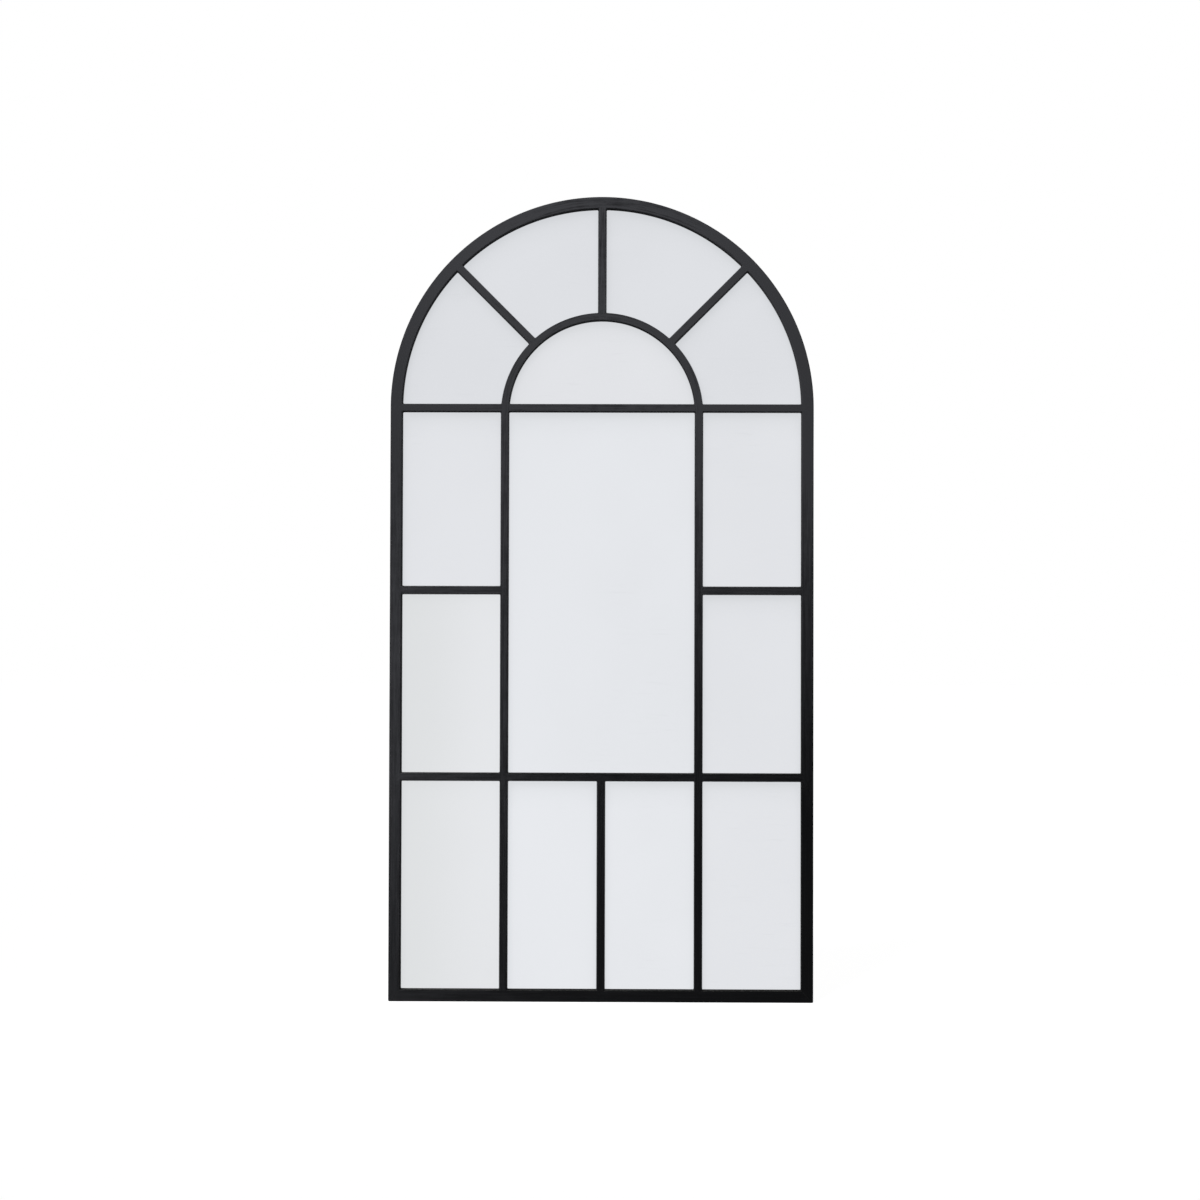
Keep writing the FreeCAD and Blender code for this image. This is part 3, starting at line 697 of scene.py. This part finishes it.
def make_frame(paint):
    tube_piece("arch_rail", paint, FRAME_OUTLINE, ring_stations(DAYLIGHT, OUTER, SPRING, 180))
    tube_piece("left_stile", paint, FRAME_OUTLINE, stile_stations(-1))
    tube_piece("right_stile", paint, FRAME_OUTLINE, stile_stations(1))
    tube_piece("bottom_rail", paint, FRAME_OUTLINE, bottom_rail_stations())


def bar_runs():
    """Both ends of each straight bar's middle line, as (X, Z). An end runs into its neighbour's rounded
    edge, as the weld fills it."""
    into_frame = TUBE_CORNER
    into_bar = BAR_CORNER
    centre = LUNETTE_INNER + into_bar
    runs = {
        "centre_mullion": ((0, SILL - into_frame), (0, LOWER_TRANSOM - BAR_HALF + into_bar)),
        "spring_transom_centre": ((-LUNETTE_INNER, SPRING), (LUNETTE_INNER, SPRING)),
        "lower_transom_centre": ((-centre, LOWER_TRANSOM), (centre, LOWER_TRANSOM)),
    }
    for side, hand in ((-1, "left"), (1, "right")):
        runs[hand + "_mullion"] = ((side * MULLION, SILL - into_frame), (side * MULLION, LUNETTE))
        inner = side * (LUNETTE_OUTER - into_bar)
        outer = side * (DAYLIGHT + into_frame)
        heights = {"spring_transom_": SPRING, "side_transom_": SIDE_TRANSOM, "lower_transom_": LOWER_TRANSOM}
        for name, height in heights.items():
            runs[name + hand] = ((inner, height), (outer, height))
    for hand, angle in FAN_ANGLES.items():
        turn = math.radians(angle)
        outward = Vector((math.cos(turn), 0, math.sin(turn)))
        start = outward * (LUNETTE_OUTER - into_bar - (FAN - LUNETTE) * math.sin(turn))
        end = outward * (DAYLIGHT + into_frame + (SPRING - FAN) * math.sin(turn))
        runs["radial_bar_" + hand] = ((start.x, FAN + start.z), (end.x, FAN + end.z))
    return runs


def make_bars(paint):
    """Glazing bars: the inner arch, and the straight ones."""
    tube_piece("lunette_arch", paint, BAR_OUTLINE, ring_stations(LUNETTE_INNER, LUNETTE_OUTER, LUNETTE, 120))
    for name, (start, end) in bar_runs().items():
        stations = run_stations(Vector((start[0], 0, start[1])), Vector((end[0], 0, end[1])), BAR_HALF)
        tube_piece(name, paint, BAR_OUTLINE, stations)


# Weld metal. A corner is a point, the two directions along its walls, and the bead's leg.

def straight_end_corners(point, along_bar, along_wall):
    """Both corners where a bar ends square on a straight wall."""
    walls = (along_wall * -1, along_wall)
    return [(point + wall * BAR_HALF, along_bar, wall, WELD_LEG) for wall in walls]


def ring_end_corners(start, towards, radius, height):
    """Both corners where a bar, run from start towards a ring, ends on it."""
    corners = []
    centre = Vector((0, 0, height))
    across_bar = towards.cross(BACK)
    starts_within = (start - centre).length < radius
    for hand in (-1, 1):
        edge = start + across_bar * (hand * BAR_HALF) - centre
        along = edge.dot(towards)
        root = math.sqrt(along ** 2 - edge.length_squared + radius ** 2)
        point = centre + edge + towards * (-along + (root if starts_within else -root))
        outward = (point - centre).normalized()
        along_wall = BACK.cross(outward)
        if along_wall.dot(across_bar) * hand < 0:
            along_wall = -along_wall
        corners.append((point, -towards, along_wall, RING_WELD_LEG))
    return corners


def weld_corners():
    corners = []
    middle = Vector((0, 0, SPRING))
    for side in (-1, 1):
        outward = ACROSS * side
        for height in (SIDE_TRANSOM, LOWER_TRANSOM):
            corners += straight_end_corners(Vector((side * DAYLIGHT, 0, height)), -outward, UP)
            corners += straight_end_corners(Vector((side * LUNETTE_OUTER, 0, height)), outward, UP)
        corners += straight_end_corners(Vector((side * LUNETTE_INNER, 0, LOWER_TRANSOM)), -outward, UP)
        corners += ring_end_corners(middle, outward, DAYLIGHT, SPRING)
        corners += ring_end_corners(middle, outward, LUNETTE_INNER, LUNETTE)
        corners += ring_end_corners(middle + outward * OUTER, -outward, LUNETTE_OUTER, LUNETTE)
        corners += straight_end_corners(Vector((side * MULLION, 0, SILL)), UP, ACROSS)
        corners.append((Vector((side * DAYLIGHT, 0, SILL)), -outward, UP, WELD_LEG))
    corners += straight_end_corners(Vector((0, 0, SILL)), UP, ACROSS)
    corners += straight_end_corners(Vector((0, 0, LOWER_TRANSOM - BAR_HALF)), -UP, ACROSS)
    fan = Vector((0, 0, FAN))
    for angle in FAN_ANGLES.values():
        outward = around(angle, 1, 0)
        corners += ring_end_corners(fan, outward, DAYLIGHT, SPRING)
        corners += ring_end_corners(fan + outward * OUTER, -outward, LUNETTE_OUTER, LUNETTE)
    return corners


def bead_rings(point, first, second, size):
    """Rings of one bead, from the front to the glass. It is hollow-faced, swells and narrows in ripples, and
    is rounded off at the front."""
    half_angle = first.angle(second) / 2
    inward = (first + second).normalized()
    rings = []
    for layer in range(WELD_LAYERS + 1):
        share = layer / WELD_LAYERS
        depth = FACE + WELD_INSET + (BAR_DEPTH - WELD_INSET) * share
        shoulder = 1 - FRONT_ROUNDING * max(0.0, 1 - share * 6) ** 2
        ripple = 1 + RIPPLE * math.sin(share * RIPPLE_TURN + point.x * RIPPLE_SHIFT)
        ripple += WANDER * noise.noise(point * WANDER_SCALE + BACK * share)
        leg = size * min(WELD_SWELL_LIMIT, shoulder * ripple)
        radius = leg * math.tan(half_angle)
        centre = point + inward * (radius / math.sin(half_angle))
        start = point + first * leg - centre
        end = point + second * leg - centre
        ring = [point - inward * WELD_ROOT]
        for step in range(WELD_ARC_STEPS + 1):
            ring.append(centre + start.slerp(end, step / WELD_ARC_STEPS).normalized() * radius)
        rings.append([Vector((spot.x, depth, spot.z)) for spot in ring])
    return rings


def make_welds(paint):
    bm = bmesh.new()
    dressed = bm.verts.layers.float.new("dressed")
    lay = bm.verts.layers.float_vector.new("lay")
    for point, first, second, size in weld_corners():
        skin(bm, bead_rings(point, first, second, size))
    for vert in bm.verts:
        vert[dressed] = DRESSED_BEAD
        vert[lay] = vert.co
    new_piece("weld_beads", bm, paint, "black_paint", "weld_fillets")


# Sealant.

def make_sealant(rubber):
    """Black sealant in the gap round the panes and the board. It runs a little into the frame's walls."""
    inner = DAYLIGHT - EDGE_GAP - SEALANT_PRESS
    outer = DAYLIGHT + SEALANT_LAP
    stations = ring_stations(inner, outer, SPRING, 120)
    for side in (-1, 1):
        within = Vector((side * inner, 0, SILL + EDGE_GAP + SEALANT_PRESS))
        stations.append((within, Vector((side * outer, 0, SILL - SEALANT_LAP))))
    front = BACK * (FACE + SEALANT_FRONT)
    back = BACK * (FACE + SEALANT_BACK)
    bm = bmesh.new()
    skin(bm, [(near + front, far + front, far + back, near + back) for near, far in stations], closed=True)
    new_piece("edge_sealant", bm, rubber, "bumper_rubber")


# Fastenings on the back.

def fastener_places():
    """Points on the middle of the frame's back with the direction towards the glass."""
    places = []
    for side in (-1, 1):
        for height in CLIP_HEIGHTS:
            places.append((Vector((side * RAIL_MIDDLE, FRAME_BACK, height)), ACROSS * -side))
    for angle in CLIP_ANGLES:
        spot = around(angle, RAIL_MIDDLE, SPRING)
        inward = (Vector((0, 0, SPRING)) - spot).normalized()
        places.append((spot + BACK * FRAME_BACK, inward))
    places += [(Vector((offset, FRAME_BACK, FOOT + TUBE / 2)), UP) for offset in CLIP_OFFSETS]
    return places


def clip_line():
    """Middle line of an offset clip as (towards the glass, back) points, its two bends rounded."""
    half = SHEET / 2
    low = BOARD_BACK - FRAME_BACK + half
    flat_steps = 8
    bend_turns = [math.radians(90 * index / 6) for index in range(7)]
    step_start = CLIP_WEB - CLIP_BEND
    step_end = CLIP_WEB + CLIP_BEND
    line = []
    for index in range(flat_steps):
        line.append((CLIP_HEEL + index * (step_start - CLIP_HEEL) / flat_steps, half))
    for turn in bend_turns:
        line.append((step_start + CLIP_BEND * math.sin(turn), half - CLIP_BEND + CLIP_BEND * math.cos(turn)))
    for turn in bend_turns:
        line.append((step_end - CLIP_BEND * math.cos(turn), low + CLIP_BEND - CLIP_BEND * math.sin(turn)))
    for index in range(1, flat_steps + 1):
        line.append((step_end + index * (CLIP_TOE - step_end) / flat_steps, low))
    return line


def strip_outline(wide, thick):
    """Section of a flat strip with its edges broken, from half its width and half its thickness."""
    flat = wide - CLIP_EDGE
    side = thick - CLIP_EDGE
    return [(-wide, -side), (-flat, -thick), (flat, -thick), (wide, -side),
            (wide, side), (flat, thick), (-flat, thick), (-wide, side)]


def clip_rings(place, inward):
    """Rings of one bent clip, its ends rounded off."""
    line = clip_line()
    sideways = inward.cross(BACK)
    lengths = [0.0]
    for near, far in zip(line, line[1:]):
        lengths.append(lengths[-1] + math.dist(near, far))
    rings = []
    for index, (reach, depth) in enumerate(line):
        before = line[max(0, index - 1)]
        after = line[min(len(line) - 1, index + 1)]
        ahead = Vector((after[0] - before[0], after[1] - before[1])).normalized()
        normal = inward * -ahead.y + BACK * ahead.x
        from_end = min(lengths[index], lengths[-1] - lengths[index])
        short = max(0.0, CLIP_END_ROUND - from_end)
        cut = CLIP_END_ROUND - math.sqrt(CLIP_END_ROUND ** 2 - short ** 2)
        middle = place + inward * reach + BACK * depth
        outline = strip_outline(CLIP_WIDTH / 2 - cut, SHEET / 2)
        rings.append([middle + sideways * u + normal * v for u, v in outline])
    return rings


def make_clips(plating):
    bm = bmesh.new()
    for place, inward in fastener_places():
        skin(bm, clip_rings(place, inward))
    new_piece("bent_clips", bm, plating, "zinc_steel", "board_clips")


def turned_rings(profile, place, steps=28):
    """Rings of a turned shape from (radius, depth) pairs, its axis along Y."""
    rings = []
    for radius, depth in profile:
        ring = []
        for index in range(steps):
            turn = math.tau * index / steps
            ring.append(place + Vector((radius * math.cos(turn), depth, radius * math.sin(turn))))
        rings.append(ring)
    return rings


def pan_head():
    """Pan head at the origin, its top towards +Y."""
    tall = SCREW_HEAD_HEIGHT
    profile = [(SCREW_HEAD * 0.96, 0.0), (SCREW_HEAD, tall * 0.1), (SCREW_HEAD, tall * 0.35)]
    for index in range(1, 7):
        turn = math.radians(15 * index)
        profile.append((SCREW_HEAD * (0.30 + 0.70 * math.cos(turn)), tall * (0.35 + 0.65 * math.sin(turn))))
    bm = bmesh.new()
    skin(bm, turned_rings(profile, Vector()))
    return finished_mesh("pan_head", bm)


def cross_recess():
    """Two crossed wedges, narrower at the bottom, that are cut out of a head."""
    floor = (0.0009, 0.0004, SCREW_HEAD_HEIGHT * 0.25)
    mouth = (0.0021, 0.00048, SCREW_HEAD_HEIGHT * 1.1)
    bm = bmesh.new()
    for angle in (20, 110):
        spin = Matrix.Rotation(math.radians(angle), 4, "Y")
        rings = []
        for wide, thin, depth in (floor, mouth):
            corners = ((-wide, -thin), (wide, -thin), (wide, thin), (-wide, thin))
            rings.append([spin @ Vector((u, depth, v)) for u, v in corners])
        skin(bm, rings)
    return finished_mesh("cross_recess", bm)


def screw_mesh():
    """One pan-head screw at the origin with its cross recess."""
    head = bpy.data.objects.new("pan_head", pan_head())
    recess = bpy.data.objects.new("cross_recess", cross_recess())
    for item in (head, recess):
        bpy.context.collection.objects.link(item)
    cut = head.modifiers.new("recess", "BOOLEAN")
    cut.object = recess
    cut.operation = "DIFFERENCE"
    cut.use_self = True
    finished = bpy.data.meshes.new_from_object(head.evaluated_get(bpy.context.evaluated_depsgraph_get()))
    for item in (head, recess):
        bpy.data.objects.remove(item)
    return finished


def screw_piece(name, node, one, places, plating):
    """Screw heads at the places, each turned its own way."""
    bm = bmesh.new()
    for index, place in enumerate(places):
        start = len(bm.verts)
        bm.from_mesh(one)
        bm.verts.ensure_lookup_table()
        turn = Matrix.Translation(place) @ Matrix.Rotation(index * SCREW_TURN, 4, "Y")
        bmesh.ops.transform(bm, matrix=turn, verts=bm.verts[start:])
    new_piece(name, bm, plating, "zinc_steel", node)


def make_screws(plating):
    one = screw_mesh()
    clips = [point + BACK * SHEET for point, inward in fastener_places()]
    hangers = [Vector((side * RAIL_MIDDLE, FRAME_BACK + PLATE, height))
               for side in (-1, 1) for height in PLATE_SCREW_HEIGHTS]
    screw_piece("clip_screw_heads", "clip_screws", one, clips, plating)
    screw_piece("hanger_screw_heads", "hanger_screws", one, hangers, plating)


def bumper_profile():
    """Profile of a rubber foot with a soft rim and a shallow dimple, as (radius, height)."""
    wall = 0.0038
    profile = [(BUMPER, 0.0), (BUMPER, 0.0004), (BUMPER * 0.97, 0.0010), (BUMPER * 0.88, wall)]
    for index in range(1, 6):
        turn = math.radians(18 * index)
        height = wall + (BUMPER_HEIGHT - wall) * math.sin(turn)
        profile.append((BUMPER * (0.68 + 0.20 * math.cos(turn)), height))
    return profile + [(BUMPER * 0.5, BUMPER_HEIGHT - 0.0001), (BUMPER * 0.3, BUMPER_HEIGHT - 0.0005)]


def make_bumpers(rubber):
    for side, hand in ((-1, "left"), (1, "right")):
        upper = around(BUMPER_ANGLE if side > 0 else 180 - BUMPER_ANGLE, RAIL_MIDDLE, SPRING)
        lower = Vector((side * RAIL_MIDDLE, 0, BUMPER_FOOT))
        for level, spot in (("upper", upper), ("lower", lower)):
            bm = bmesh.new()
            skin(bm, turned_rings(bumper_profile(), spot + BACK * FRAME_BACK))
            node = "wall_bumper_" + level + "_" + hand
            new_piece("rubber_foot_" + level + "_" + hand, bm, rubber, "bumper_rubber", node)


# Panes and flat parts, which keep their own solids.

def give(material, *names):
    """Puts a material in every slot of the named nodes."""
    for name in names:
        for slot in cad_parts[name].material_slots:
            slot.material = material


def finish_panes():
    """The panes' tints differ a little, darkest in the fan, whose tint is a painted reflection of a dimmer
    space above.
    """
    give(mirror_glass("mirror_clear", (0.790, 0.806, 0.838)), "centre_pane")
    give(mirror_glass("mirror_low", (0.800, 0.816, 0.848)),
         "bottom_pane_inner_left", "bottom_pane_inner_right")
    give(mirror_glass("mirror_lunette", (0.774, 0.785, 0.814), aside=0.1), "lunette_pane")
    # Painted reflection: the fan panes' darker tint stands for a dimmer space above them.
    give(mirror_glass("mirror_fan", (0.740, 0.754, 0.786), aside=0.2),
         "fan_pane_outer_left", "fan_pane_inner_left", "fan_pane_inner_right", "fan_pane_outer_right")
    give(mirror_glass("mirror_upper", (0.772, 0.785, 0.816), aside=0.2), "upper_pane_left")
    give(mirror_glass("mirror_side", (0.768, 0.781, 0.812)), "upper_pane_right", "middle_pane_right")
    give(mirror_glass("mirror_foot", (0.782, 0.795, 0.826)), "bottom_pane_outer_right")
    green = mirror_glass("mirror_green", (0.781, 0.793, 0.815), left_tint=(0.732, 0.747, 0.759),
                         aside=0.1, shade=0.06)
    give(green, "middle_pane_left", "bottom_pane_outer_left")


set_camera()
lay_floor(floor_white())
set_world()
soft_light("key", (-1.0, -1.8, 1.5), aim=(0.15, 0.0, 0.28), size=1.2, power=11.5, spread=62)
soft_light("left_fill", (-2.2, -1.5, -0.3), aim=(-0.44, 0.0, -0.88), size=0.8, power=6.5, spread=27)

paint = black_paint()
plating = zinc()
rubber = matt_rubber()
make_frame(paint)
make_bars(paint)
make_welds(paint)
finish_panes()
give(pressed_board(), "backboard")
give(plating, "hanger_plate_left", "hanger_plate_right")
make_clips(plating)
make_screws(plating)
make_bumpers(rubber)
make_sealant(rubber)

bpy.context.scene.view_settings.view_transform = "Standard"
